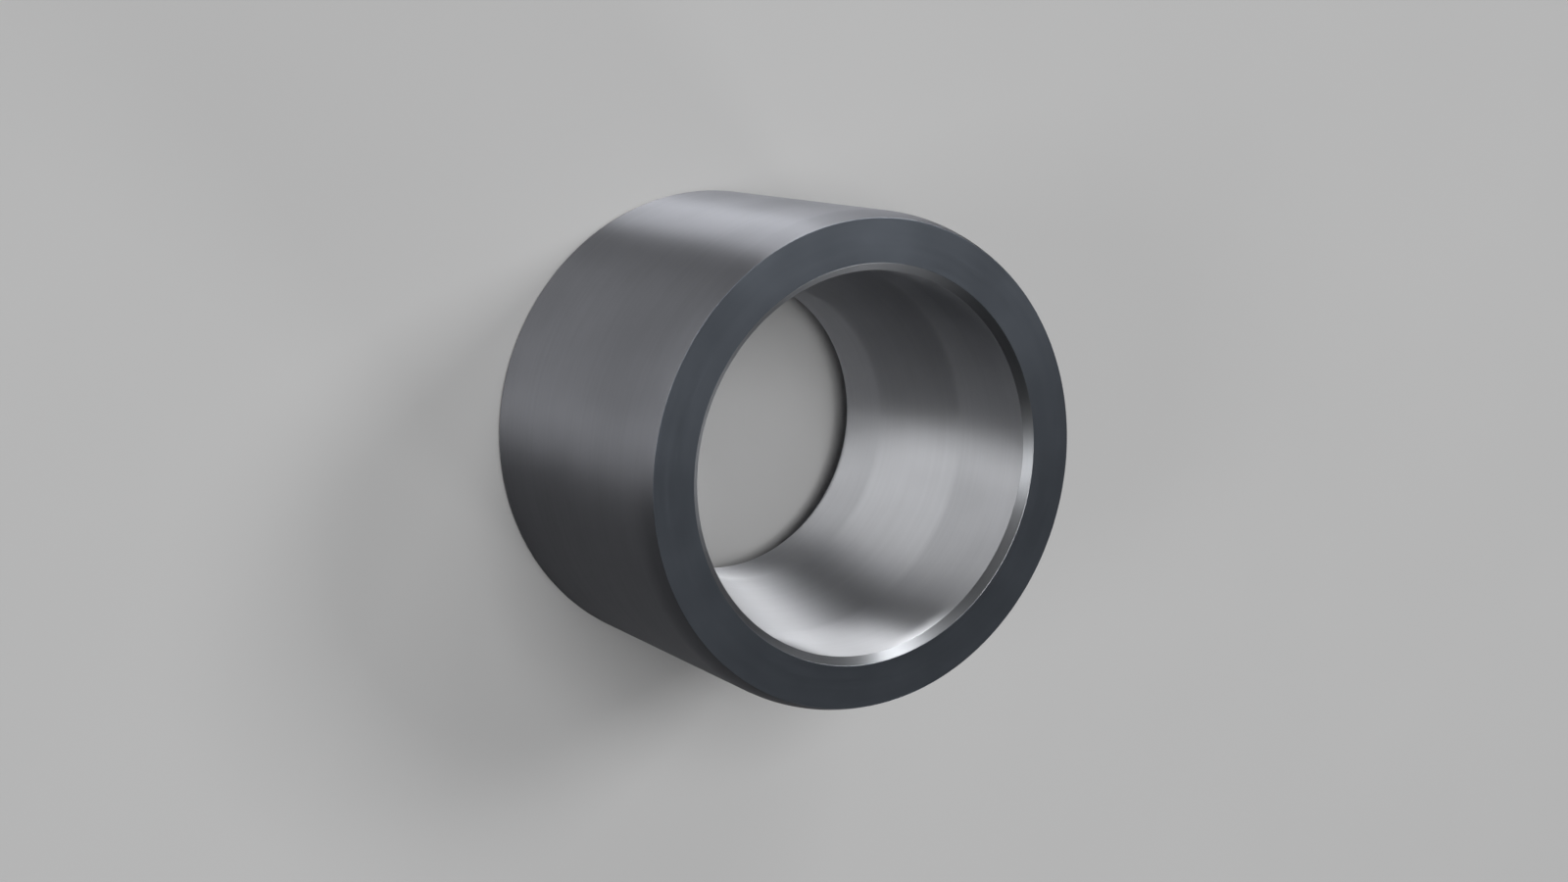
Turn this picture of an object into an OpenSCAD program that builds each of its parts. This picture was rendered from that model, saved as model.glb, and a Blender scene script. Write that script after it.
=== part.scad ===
// Thrust ring: one turned and ground piece. It stands on its rear face, with its
// axis along +Z and its origin at the centre of that face. All sizes are in mm.

/* [Outside] */
// Outer diameter
outer_d = 130; // [116:0.5:180]
// Length of the ring, from face to face
ring_l = 85; // [76:0.5:140]
// Length of the rounded lead-in behind the front face
lead_l = 8.2; // [3:0.1:16]
// How far the lead-in has come in where it meets the front face
lead_drop = 1.65; // [0.4:0.05:2.8]
// Chamfer on the outer edge of the rear face, on each leg
rear_chamfer = 1; // [0.2:0.1:3]

/* [Guide bore] */
// Diameter of the guide bore, open to the front
guide_d = 100; // [92:0.5:108]
// Depth of the guide bore, from the front face to the seat
guide_l = 30.5; // [12:0.5:44]
// Chamfer at the mouth of the guide bore, on each leg
guide_chamfer = 2; // [0.5:0.1:5]

/* [Tapered seat] */
// Angle between the seat and the axis
seat_angle = 18.5; // [14:0.5:45]
// Radius that blends the seat into each of the two bores
seat_blend_r = 8; // [2:0.5:20]

/* [Pilot bore] */
// Diameter of the pilot bore, behind the seat
pilot_d = 82.5; // [77:0.5:92]

/* [Rear mouth] */
// Diameter of the flared mouth in the rear face
mouth_d = 103; // [94:0.5:112]
// Angle between the flare and the axis
mouth_angle = 45; // [35:1:60]
// Radius that rounds the pilot bore into the flare
throat_r = 5; // [1:0.5:10]

/* [Hidden] */
$fn = 180;

outer_r = outer_d / 2;
guide_r = guide_d / 2;
pilot_r = pilot_d / 2;
mouth_r = mouth_d / 2;

// Heights of the corners of the opening, up from the rear face
mouth_z = (mouth_r - pilot_r) / tan(mouth_angle);
guide_z = ring_l - guide_l;
seat_z = guide_z - (guide_r - pilot_r) / tan(seat_angle);

// Radius of the lead-in: it leaves the cylinder at a tangent and has dropped by
// lead_drop after lead_l
lead_r = (lead_l * lead_l + lead_drop * lead_drop) / (2 * lead_drop);

// Room by which a cut runs past the faces that it opens
over = 1;

// Hair by which an arc bites past its tangent, so that no sliver is left there
bite = 0.001;

// The sliver between a corner and the arc of radius r that touches both its sides.
// corner is [radius, height], and from and to are the directions of its two sides,
// in degrees from the radius.
module corner_sliver(corner, from, to, r) {
    half = (to - from) / 2;
    middle = from + half;
    touch = r / tan(half);
    centre = corner + r / sin(half) * [cos(middle), sin(middle)];
    difference() {
        polygon([
            corner - over * [cos(middle), sin(middle)],
            corner + touch * [cos(from), sin(from)],
            centre,
            corner + touch * [cos(to), sin(to)]
        ]);
        translate(centre) circle(r = r + bite);
    }
}

// Everything inside the ring, from the axis out to the wall
module opening_section() {
    union() {
        difference() {
            polygon([
                [0, -over],
                [mouth_r + over * tan(mouth_angle), -over],
                [pilot_r, mouth_z],
                [pilot_r, seat_z],
                [guide_r, guide_z],
                [guide_r, ring_l - guide_chamfer],
                [guide_r + guide_chamfer + over, ring_l + over],
                [0, ring_l + over]
            ]);
            // The wall thickens to blend the guide bore into the seat
            corner_sliver([guide_r, guide_z], 90, 270 - seat_angle, seat_blend_r);
        }
        // The wall is eased where the seat runs into the pilot bore
        corner_sliver([pilot_r, seat_z], -90, 90 - seat_angle, seat_blend_r);
        // The pilot bore rolls over into the flare
        corner_sliver([pilot_r, mouth_z], mouth_angle - 90, 90, throat_r);
    }
}

// The rounded lead-in at the front, taken off the corner of the outside
module lead_in_section() {
    difference() {
        translate([outer_r - lead_drop - over, ring_l - lead_l])
            square([lead_drop + 2 * over, lead_l + over]);
        translate([outer_r - lead_r, ring_l - lead_l]) circle(r = lead_r + bite);
    }
}

// The chamfer round the rear face
module rear_chamfer_section() {
    polygon([
        [outer_r - rear_chamfer - over, -over],
        [outer_r + over, rear_chamfer + over],
        [outer_r + over, -over]
    ]);
}

module ring_section() {
    difference() {
        square([outer_r, ring_l]);
        lead_in_section();
        rear_chamfer_section();
        opening_section();
    }
}

module thrust_ring() {
    color("slategray") rotate_extrude() ring_section();
}

thrust_ring();
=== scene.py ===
import math

import bpy
from mathutils import Matrix, Vector


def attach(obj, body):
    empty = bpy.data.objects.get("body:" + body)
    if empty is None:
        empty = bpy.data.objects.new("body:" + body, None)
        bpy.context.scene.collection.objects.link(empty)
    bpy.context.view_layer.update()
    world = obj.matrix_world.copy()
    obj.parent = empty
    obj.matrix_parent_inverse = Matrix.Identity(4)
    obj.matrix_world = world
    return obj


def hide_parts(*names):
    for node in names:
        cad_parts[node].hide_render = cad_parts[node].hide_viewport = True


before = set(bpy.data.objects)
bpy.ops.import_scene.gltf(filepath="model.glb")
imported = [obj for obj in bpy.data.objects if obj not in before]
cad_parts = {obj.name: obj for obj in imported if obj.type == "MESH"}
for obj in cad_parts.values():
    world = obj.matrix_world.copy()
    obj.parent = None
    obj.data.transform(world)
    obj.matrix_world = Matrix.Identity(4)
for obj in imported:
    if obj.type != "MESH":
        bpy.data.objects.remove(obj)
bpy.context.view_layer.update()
mm = 0.001
print("frame loaded")


# Small helpers for node trees

def addNode(tree, kind, **settings):
    made = tree.nodes.new(kind)
    for name, value in settings.items():
        setattr(made, name, value)
    return made


def feed(tree, socket, value):
    # a link if value is another node's output, otherwise a plain number
    if isinstance(value, bpy.types.NodeSocket):
        tree.links.new(value, socket)
    elif value is not None:
        socket.default_value = value


def maths(tree, operation, first, second=None, third=None, clamp=False):
    made = addNode(tree, "ShaderNodeMath", operation=operation, use_clamp=clamp)
    for socket, value in zip(made.inputs, (first, second, third)):
        feed(tree, socket, value)
    return made.outputs[0]


def arithmetic(tree):
    # the four plain sums, as functions for one tree
    def pair(operation):
        return lambda first, second: maths(tree, operation, first, second)
    return pair("ADD"), pair("SUBTRACT"), pair("MULTIPLY"), pair("DIVIDE")


def vectorMaths(tree, operation, first, second=None, scale=None):
    made = addNode(tree, "ShaderNodeVectorMath", operation=operation)
    feed(tree, made.inputs[0], first)
    feed(tree, made.inputs[1], second)
    feed(tree, made.inputs[3], scale)
    return made.outputs[1 if operation in ("DOT_PRODUCT", "LENGTH") else 0]


def vector(tree, x=0.0, y=0.0, z=0.0):
    made = addNode(tree, "ShaderNodeCombineXYZ")
    for socket, value in zip(made.inputs, (x, y, z)):
        feed(tree, socket, value)
    return made.outputs[0]


def split(tree, source):
    made = addNode(tree, "ShaderNodeSeparateXYZ")
    feed(tree, made.inputs[0], source)
    return made.outputs


def noise(tree, place, scale, detail, roughness):
    made = addNode(tree, "ShaderNodeTexNoise", noise_dimensions="3D")
    feed(tree, made.inputs["Vector"], place)
    feed(tree, made.inputs["Scale"], scale)
    feed(tree, made.inputs["Detail"], detail)
    feed(tree, made.inputs["Roughness"], roughness)
    return made.outputs[0]


def spread(tree, value, low, high):
    made = addNode(tree, "ShaderNodeMapRange", interpolation_type="SMOOTHSTEP")
    feed(tree, made.inputs["Value"], value)
    feed(tree, made.inputs["From Min"], low)
    feed(tree, made.inputs["From Max"], high)
    return made.outputs["Result"]


def blend(tree, share, first, second):
    # in this node the two colours are sockets 6 and 7, and the mixed one is output 2
    made = addNode(tree, "ShaderNodeMix", data_type="RGBA")
    feed(tree, made.inputs[0], share)
    made.inputs[6].default_value = (*first, 1)
    made.inputs[7].default_value = (*second, 1)
    return made.outputs[2]


# Steel finishes. The marks run round the axis, because every surface was cut or ground while the ring
# turned. Pitches, lengths and depths are millimetres.

# The four finishes are one steel, and their base colours hold painted light and shade: the outside and the
# faces are set dark as painted shade for the dark surroundings they mirror, the chamfer a little less
# dark, and the bore pale as painted light for its bright reflections.
steelValues = {
    "outside": {
        "pale": (0.202, 0.206, 0.223), "deep": (0.176, 0.18, 0.195),
        "roughness": 0.51, "roughnessSpread": 0.03, "anisotropy": 1.0,
        "markPitch": 0.22, "markLength": 11.0, "markDepth": 0.0006,
        "bandPitch": 1.6, "bandDepth": 0.0004, "smudge": 0.5,
    },
    "faces": {
        "pale": (0.27, 0.30, 0.347), "deep": (0.238, 0.265, 0.306),
        "roughness": 0.33, "roughnessSpread": 0.03, "anisotropy": 0.0,
        "markPitch": 0.26, "markLength": 14.0, "markDepth": 0.0005,
        "bandPitch": 1.9, "bandDepth": 0.0004, "smudge": 0.45,
    },
    "bore": {
        "pale": (0.585, 0.592, 0.615), "deep": (0.54, 0.547, 0.568),
        "roughness": 0.54, "roughnessSpread": 0.03, "anisotropy": 1.0,
        "markPitch": 0.16, "markLength": 18.0, "markDepth": 0.0004,
        "bandPitch": 1.3, "bandDepth": 0.0003, "smudge": 0.5,
    },
    "chamfer": {
        "pale": (0.39, 0.40, 0.42), "deep": (0.35, 0.36, 0.378),
        "roughness": 0.30, "roughnessSpread": 0.03, "anisotropy": 0.0,
        "markPitch": 0.18, "markLength": 22.0, "markDepth": 0.0004,
        "bandPitch": 0.8, "bandDepth": 0.0003, "smudge": 0.3,
    },
}

grainValues = {
    "middleRadius": 50.0,  # millimetres from the axis, where a mark has its full length
    "outwardShare": 0.62,  # a step outwards moves the marks this much of a step upwards
    "markDetail": 3.0, "bandDetail": 1.5, "bandLength": 4.0, "grainRoughness": 0.6,
    "smudgeScale": 38.0, "smudgeDetail": 3.0, "smudgeRoughness": 0.55,
    "smudgeInColour": 0.7, "bandInColour": 0.3, "colourFrom": 0.3, "colourTo": 0.7,
    "markInRoughness": 0.9,
    "markSwing": 2.0, "bandSwing": 4.0,  # noise keeps near its middle, so depths are stretched by these
}


def steelFinish(name, values, grain):
    material = bpy.data.materials.new(name)
    material.use_nodes = True
    tree = material.node_tree
    tree.nodes.clear()
    _, minus, times, _ = arithmetic(tree)
    output = addNode(tree, "ShaderNodeOutputMaterial")
    steel = addNode(tree, "ShaderNodeBsdfPrincipled")
    tree.links.new(steel.outputs[0], output.inputs["Surface"])
    steel.inputs["Metallic"].default_value = 1.0
    steel.inputs["Anisotropic"].default_value = values["anisotropy"]
    steel.inputs["Anisotropic Rotation"].default_value = 0.25  # a highlight spreads across the marks

    # distance from the axis, direction round it, and a length along the section
    place = addNode(tree, "ShaderNodeTexCoord").outputs["Object"]
    parts = split(tree, place)
    flat = vector(tree, parts["X"], parts["Y"])
    radius = vectorMaths(tree, "LENGTH", flat)
    outward = vectorMaths(tree, "NORMALIZE", flat)
    along = maths(tree, "MULTIPLY_ADD", radius, grain["outwardShare"], parts["Z"])

    def ringMarks(pitch, length, detail):
        # noise drawn out round the axis: short across the marks, long beside them
        turns = vectorMaths(tree, "SCALE", outward, scale=grain["middleRadius"] / length)
        steps = vector(tree, z=times(along, 1 / (pitch * mm)))
        return noise(tree, vectorMaths(tree, "ADD", turns, steps), 1.0, detail, grain["grainRoughness"])

    marks = ringMarks(values["markPitch"], values["markLength"], grain["markDetail"])
    bands = ringMarks(values["bandPitch"], values["markLength"] * grain["bandLength"], grain["bandDetail"])
    smudges = noise(tree, place, grain["smudgeScale"], grain["smudgeDetail"], grain["smudgeRoughness"])

    # colour drifts a little between the two steels of the finish
    bandPart = times(bands, grain["bandInColour"])
    drift = maths(tree, "MULTIPLY_ADD", smudges, grain["smudgeInColour"], bandPart)
    amount = spread(tree, drift, grain["colourFrom"], grain["colourTo"])
    colour = blend(tree, amount, values["deep"], values["pale"])
    feed(tree, steel.inputs["Base Color"], colour)

    # roughness follows the smudges and the marks
    fromMarks = times(minus(marks, 0.5), grain["markInRoughness"])
    swing = maths(tree, "MULTIPLY_ADD", minus(smudges, 0.5), values["smudge"] * 2, fromMarks)
    rough = maths(tree, "MULTIPLY_ADD", swing, values["roughnessSpread"] * 2, values["roughness"])
    feed(tree, steel.inputs["Roughness"], rough)

    # fine marks and wide feed bands as height, in metres
    fromBands = times(bands, values["bandDepth"] * mm * grain["bandSwing"])
    height = maths(tree, "MULTIPLY_ADD", marks, values["markDepth"] * mm * grain["markSwing"], fromBands)
    bump = addNode(tree, "ShaderNodeBump")
    bump.inputs["Strength"].default_value = 1.0
    bump.inputs["Distance"].default_value = 1.0
    feed(tree, bump.inputs["Height"], height)
    feed(tree, steel.inputs["Normal"], bump.outputs[0])

    # the grain runs round the axis
    roundWay = vectorMaths(tree, "CROSS_PRODUCT", (0.0, 0.0, 1.0), outward)
    turned = addNode(tree, "ShaderNodeVectorTransform", vector_type="VECTOR")
    turned.convert_from, turned.convert_to = "OBJECT", "WORLD"
    feed(tree, turned.inputs[0], roundWay)
    feed(tree, steel.inputs["Tangent"], turned.outputs[0])
    return material


# the finishes differ in their marks, roughness and anisotropy, and their colour levels are painted light
# and shade
finishes = {
    "outside": steelFinish("groundOutsidePaintedShade", steelValues["outside"], grainValues),
    "faces": steelFinish("groundFacesPaintedShade", steelValues["faces"], grainValues),
    "bore": steelFinish("honedBorePaintedLight", steelValues["bore"], grainValues),
    "chamfer": steelFinish("cutChamferPaintedShade", steelValues["chamfer"], grainValues),
}
print("steel finishes made:", ", ".join(finishes))


# The ring

ringValues = {  # millimetres and degrees
    "Outside Diameter": 129.95,  # a hair under 130, so that the ring stays inside the box of the CAD mesh
    "Length": 85.0,
    "Lead-in Length": 8.2,
    "Lead-in Drop": 1.65,
    "Lead-in Ease": 0.92,  # share of the lead-in's full arc, which leaves room for the broken edge
    "Rear Chamfer": 1.0,
    "Guide Diameter": 100.0,
    "Guide Length": 30.5,
    "Guide Chamfer": 2.0,
    "Seat Angle": 18.5,
    "Seat Blend": 8.0,
    "Pilot Diameter": 82.5,
    "Mouth Diameter": 103.0,
    "Mouth Angle": 45.0,
    "Throat Blend": 5.0,
    "Edge Break": 0.12,
    "Edge Support": 0.1,
}
ringCounts = {"Steps per Corner": 10, "Steps Around": 288}
pickValues = {
    "chamferReach": 1.02,  # the chamfer's finish goes this many chamfers down from the front face
    "outsideFrom": 2.0,  # the outside's finish starts this many chamfers out from the guide bore
    "flatFrom": 0.92,  # a face is flat from this share of a normal along the axis
}


def finishInput(name):
    return name[0].upper() + name[1:] + " Finish"


def ringTree():
    tree = bpy.data.node_groups.new("turnedRing", "GeometryNodeTree")
    plus, minus, times, over = arithmetic(tree)
    face = tree.interface
    face.new_socket("Geometry", in_out="INPUT", socket_type="NodeSocketGeometry")
    for name in ringValues:
        face.new_socket(name, in_out="INPUT", socket_type="NodeSocketFloat")
    for name in ringCounts:
        face.new_socket(name, in_out="INPUT", socket_type="NodeSocketInt")
    for name in finishes:
        face.new_socket(finishInput(name), in_out="INPUT", socket_type="NodeSocketMaterial")
    face.new_socket("Geometry", in_out="OUTPUT", socket_type="NodeSocketGeometry")
    size = addNode(tree, "NodeGroupInput").outputs
    result = addNode(tree, "NodeGroupOutput")

    # corners of the section, x is the distance from the axis and y the height above the rear face
    diameters = [size[name + " Diameter"] for name in ("Outside", "Guide", "Pilot", "Mouth")]
    outer, guide, pilot, mouth = [times(diameter, 0.5) for diameter in diameters]
    top = size["Length"]
    guideEnd = minus(top, size["Guide Length"])
    seatEnd = minus(guideEnd, over(minus(guide, pilot), maths(tree, "TANGENT", size["Seat Angle"])))
    mouthRun = over(minus(mouth, pilot), maths(tree, "TANGENT", size["Mouth Angle"]))

    # the lead-in is an arc that leaves the outside without a step, through its drop at the front face
    run, drop = size["Lead-in Length"], size["Lead-in Drop"]
    leadRadius = over(plus(times(run, run), times(drop, drop)), times(drop, 2.0))
    leadTurn = maths(tree, "ARCSINE", over(run, leadRadius))
    leadReach = times(leadRadius, maths(tree, "TANGENT", times(leadTurn, 0.5)))
    leadCorner = plus(minus(top, run), leadReach)

    chamfer, rear, edge = size["Guide Chamfer"], size["Rear Chamfer"], size["Edge Break"]
    corners = [
        (mouth, 0.0, times(edge, 2.0)),
        (minus(outer, rear), 0.0, edge),
        (outer, rear, edge),
        (outer, leadCorner, times(leadRadius, size["Lead-in Ease"])),
        (minus(outer, drop), top, edge),
        (plus(guide, chamfer), top, edge),
        (guide, minus(top, chamfer), edge),
        (guide, guideEnd, size["Seat Blend"]),
        (pilot, seatEnd, size["Seat Blend"]),
        (pilot, mouthRun, size["Throat Blend"]),
    ]
    index = addNode(tree, "GeometryNodeInputIndex").outputs[0]

    def byIndex(kind, values):
        switch = addNode(tree, "GeometryNodeIndexSwitch", data_type=kind)
        while len(switch.index_switch_items) < len(values):
            switch.index_switch_items.new()
        feed(tree, switch.inputs[0], index)
        for number, value in enumerate(values):
            feed(tree, switch.inputs[number + 1], value)
        return switch.outputs[0]

    cornerPoints = addNode(tree, "GeometryNodePoints")
    cornerPoints.inputs["Count"].default_value = len(corners)
    cornerPlaces = [vector(tree, x, y) for x, y, _ in corners]
    feed(tree, cornerPoints.inputs["Position"], byIndex("VECTOR", cornerPlaces))
    feed(tree, cornerPoints.inputs["Radius"], byIndex("FLOAT", [rounding for _, _, rounding in corners]))

    # each corner gets a run of points: one just before its rounding, the rounding, and one just after
    def whole(operation, first, second):
        made = addNode(tree, "FunctionNodeIntegerMath", operation=operation)
        feed(tree, made.inputs[0], first)
        feed(tree, made.inputs[1], second)
        return made.outputs[0]

    steps = size["Steps per Corner"]
    perCorner = whole("ADD", steps, 3)
    corner = whole("DIVIDE_FLOOR", index, perCorner)
    step = whole("MODULO", index, perCorner)

    def cornerValue(kind, shift, field):
        made = addNode(tree, "GeometryNodeSampleIndex", data_type=kind, domain="POINT")
        shifted = whole("ADD", corner, len(corners) + shift)
        feed(tree, made.inputs["Geometry"], cornerPoints.outputs[0])
        feed(tree, made.inputs["Value"], field)
        feed(tree, made.inputs["Index"], whole("MODULO", shifted, len(corners)))
        return made.outputs[0]

    def direction(start, end):
        return vectorMaths(tree, "NORMALIZE", vectorMaths(tree, "SUBTRACT", end, start))

    position = addNode(tree, "GeometryNodeInputPosition").outputs[0]
    rounding = cornerValue("FLOAT", 0, addNode(tree, "GeometryNodeInputRadius").outputs[0])
    here = cornerValue("FLOAT_VECTOR", 0, position)
    back = direction(here, cornerValue("FLOAT_VECTOR", -1, position))
    ahead = direction(here, cornerValue("FLOAT_VECTOR", 1, position))
    turn = vectorMaths(tree, "DOT_PRODUCT", back, ahead)
    reach = times(rounding, maths(tree, "SQRT", over(plus(turn, 1.0), minus(1.0, turn))))
    weight = maths(tree, "SQRT", times(minus(1.0, turn), 0.5))

    # a circle's arc as a weighted curve between the two tangent points
    share = maths(tree, "DIVIDE", minus(step, 1), steps, clamp=True)
    rest = minus(1.0, share)
    pullBack = times(rest, rest)
    pullAhead = times(share, share)
    pullCorner = times(times(rest, share), times(weight, 2.0))
    total = plus(plus(pullBack, pullAhead), pullCorner)

    # the first and the last point of the run stand a little off the rounding, on the straight
    before = maths(tree, "LESS_THAN", step, 0.5)
    after = maths(tree, "GREATER_THAN", step, plus(steps, 1.5))
    support = size["Edge Support"]
    backBy = plus(times(reach, over(pullBack, total)), times(before, support))
    aheadBy = plus(times(reach, over(pullAhead, total)), times(after, support))
    backPart = vectorMaths(tree, "SCALE", back, scale=backBy)
    aheadPart = vectorMaths(tree, "SCALE", ahead, scale=aheadBy)
    sectionPlace = vectorMaths(tree, "ADD", here, vectorMaths(tree, "ADD", backPart, aheadPart))

    # the section is turned over, because the sweep counts its second axis downwards
    section = addNode(tree, "GeometryNodeCurvePrimitiveCircle", mode="RADIUS")
    feed(tree, section.inputs["Resolution"], whole("MULTIPLY", perCorner, len(corners)))
    pathRadius = times(plus(outer, guide), 0.5)
    flipped = vectorMaths(tree, "MULTIPLY", sectionPlace, (1.0, -1.0, 1.0))
    placed = addNode(tree, "GeometryNodeSetPosition")
    feed(tree, placed.inputs["Geometry"], section.outputs[0])
    feed(tree, placed.inputs["Position"], vectorMaths(tree, "SUBTRACT", flipped, vector(tree, pathRadius)))

    # the section goes round the axis on a circle
    path = addNode(tree, "GeometryNodeCurvePrimitiveCircle", mode="RADIUS")
    feed(tree, path.inputs["Resolution"], size["Steps Around"])
    feed(tree, path.inputs["Radius"], pathRadius)
    swept = addNode(tree, "GeometryNodeCurveToMesh")
    feed(tree, swept.inputs["Curve"], path.outputs[0])
    feed(tree, swept.inputs["Profile Curve"], placed.outputs[0])
    outwards = addNode(tree, "GeometryNodeFlipFaces")
    feed(tree, outwards.inputs[0], swept.outputs[0])
    smooth = addNode(tree, "GeometryNodeSetShadeSmooth")
    feed(tree, smooth.inputs["Geometry"], outwards.outputs[0])
    real = addNode(tree, "GeometryNodeRealizeInstances")
    feed(tree, real.inputs[0], smooth.outputs[0])

    # finishes: the bore first, then the outside, the guide chamfer, and the two flat faces over them
    spot = split(tree, position)
    fromAxis = vectorMaths(tree, "LENGTH", vector(tree, spot["X"], spot["Y"]))
    tilt = split(tree, addNode(tree, "GeometryNodeInputNormal").outputs[0])["Z"]
    chamferEnd = minus(top, times(chamfer, pickValues["chamferReach"]))
    outsideStart = plus(guide, times(chamfer, pickValues["outsideFrom"]))
    onOutside = maths(tree, "GREATER_THAN", fromAxis, outsideStart)
    nearTop = maths(tree, "GREATER_THAN", spot["Z"], chamferEnd)
    isFlat = maths(tree, "GREATER_THAN", maths(tree, "ABSOLUTE", tilt), pickValues["flatFrom"])
    picks = {
        "bore": None,
        "outside": onOutside,
        "chamfer": times(nearTop, minus(1.0, onOutside)),
        "faces": isFlat,
    }
    geometry = real.outputs[0]
    for name, pick in picks.items():
        painted = addNode(tree, "GeometryNodeSetMaterial")
        feed(tree, painted.inputs["Geometry"], geometry)
        if pick is not None:
            feed(tree, painted.inputs["Selection"], pick)
        feed(tree, painted.inputs["Material"], size[finishInput(name)])
        geometry = painted.outputs[0]
    feed(tree, result.inputs[0], geometry)
    return tree


def inSceneUnits(name, value):
    if name.endswith("Angle"):
        return math.radians(value)
    return value if name.endswith("Ease") else value * mm


def makeRing():
    tree = ringTree()
    seed = bpy.data.objects.new("ringSeed", bpy.data.meshes.new("ringSeed"))
    bpy.context.scene.collection.objects.link(seed)
    modifier = seed.modifiers.new("turnedRing", "NODES")
    modifier.node_group = tree
    given = dict(ringCounts)
    for name, value in ringValues.items():
        given[name] = inSceneUnits(name, value)
    for name, material in finishes.items():
        given[finishInput(name)] = material
    for item in tree.interface.items_tree:
        if item.in_out == "INPUT" and item.name in given:
            modifier[item.identifier] = given[item.name]
    grown = seed.evaluated_get(bpy.context.evaluated_depsgraph_get())
    mesh = bpy.data.meshes.new_from_object(grown)
    mesh.name = "thrustRing"
    made = bpy.data.objects.new("ring_body", mesh)
    bpy.context.scene.collection.objects.link(made)
    bpy.data.objects.remove(seed)
    return made


ring = makeRing()
print("ring swept:", len(ring.data.polygons), "faces,", len(ring.data.materials), "finishes")
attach(ring, "root")
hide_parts("thrust_ring")


# The floor

floorValues = {
    "size": 9.0, "colour": (0.46, 0.46, 0.46), "roughness": 0.9,
    "drift": 0.012, "driftScale": 9.0, "driftDetail": 3.0, "driftRoughness": 0.5,
}


def makeFloor(values):
    side = values["size"] / 2
    corners = [(-side, -side, 0), (side, -side, 0), (side, side, 0), (-side, side, 0)]
    mesh = bpy.data.meshes.new("floor")
    mesh.from_pydata(corners, [], [(0, 1, 2, 3)])
    made = bpy.data.objects.new("floor", mesh)
    bpy.context.scene.collection.objects.link(made)
    material = bpy.data.materials.new("paleFloor")
    material.use_nodes = True
    tree = material.node_tree
    paint = tree.nodes["Principled BSDF"]
    place = addNode(tree, "ShaderNodeTexCoord").outputs["Object"]
    darker = [channel - values["drift"] for channel in values["colour"]]
    lighter = [channel + values["drift"] for channel in values["colour"]]
    cloud = noise(tree, place, values["driftScale"], values["driftDetail"], values["driftRoughness"])
    feed(tree, paint.inputs["Base Color"], blend(tree, cloud, darker, lighter))
    paint.inputs["Roughness"].default_value = values["roughness"]
    paint.inputs["Specular IOR Level"].default_value = 0.0
    mesh.materials.append(material)


makeFloor(floorValues)
print("floor laid")


# Lights. Wide soft boxes stand far enough away to light the floor evenly. A bearing is in degrees from the
# camera's side, turning towards the top of the picture, and a rise is in degrees above the floor.

boxDistance = 8.0
lampValues = {
    "key": {"bearing": 130.0, "rise": 48.0, "width": 2.1, "height": 2.7, "level": 11.3},
    "side": {"bearing": 75.0, "rise": 2.6, "width": 3.0, "height": 0.6, "level": 58.0},
    "sideHigh": {"bearing": 89.0, "rise": 14.0, "width": 2.6, "height": 2.1, "level": 8.0},
    "top": {"bearing": 55.0, "rise": 70.0, "width": 2.7, "height": 2.7, "level": 8.6},
    "topFront": {"bearing": 0.0, "rise": 70.0, "width": 2.7, "height": 2.7, "level": 9.2},
    "front": {"bearing": -20.0, "rise": 31.0, "width": 2.4, "height": 1.9, "level": 5.3},
    "back": {"bearing": -150.0, "rise": 14.0, "width": 1.9, "height": 2.1, "level": 10.0},
}


def onBearing(bearing, rise, away):
    turn, lift = math.radians(bearing), math.radians(rise)
    across = math.cos(lift)
    return Vector((-math.sin(turn) * across, -math.cos(turn) * across, math.sin(lift))) * away


def addLamp(name, values):
    data = bpy.data.lights.new(name, "AREA")
    data.shape = "RECTANGLE"
    data.size, data.size_y = values["width"], values["height"]
    # the level is how bright the box itself is, whatever its size
    data.energy = values["level"] * math.pi * values["width"] * values["height"]
    made = bpy.data.objects.new(name, data)
    made.location = onBearing(values["bearing"], values["rise"], boxDistance)
    made.rotation_euler = (-made.location).to_track_quat("-Z", "Y").to_euler()
    made.visible_camera = False  # a box lights the ring, and doesn't stand in the picture itself
    bpy.context.scene.collection.objects.link(made)


for name, values in lampValues.items():
    addLamp(name + "Lamp", values)

worldValues = {"horizon": (0.45, 0.455, 0.46), "above": (0.010, 0.011, 0.013), "fade": 0.2}


def makeWorld(values):
    # a pale wall round the floor, and a dark studio above it
    made = bpy.data.worlds.new("studio")
    made.use_nodes = True
    tree = made.node_tree
    upwards = split(tree, addNode(tree, "ShaderNodeTexCoord").outputs["Generated"])["Z"]
    tone = blend(tree, spread(tree, upwards, 0.0, values["fade"]), values["horizon"], values["above"])
    feed(tree, tree.nodes["Background"].inputs["Color"], tone)
    bpy.context.scene.world = made


makeWorld(worldValues)
print("lights set")


# The camera looks at the middle of the ring, and is rolled so that the axis lies as in the photograph

cameraValues = {
    "lens": 51.46, "sensor": 36.0, "roll": 106.34, "nearest": 0.01, "farthest": 50.0,
    "place": (0.0, -0.3327, 0.5495), "aim": (0.0, 0.0, 0.0425),
}


def makeCamera(values):
    data = bpy.data.cameras.new("camera")
    data.lens, data.sensor_width = values["lens"], values["sensor"]
    data.clip_start, data.clip_end = values["nearest"], values["farthest"]
    made = bpy.data.objects.new("camera", data)
    made.location = values["place"]
    look = (Vector(values["aim"]) - made.location).to_track_quat("-Z", "Y").to_matrix()
    made.rotation_euler = (look @ Matrix.Rotation(math.radians(values["roll"]), 3, "Z")).to_euler()
    bpy.context.scene.collection.objects.link(made)
    bpy.context.scene.camera = made


makeCamera(cameraValues)
bpy.context.scene.view_settings.view_transform = "Standard"
print("camera placed")
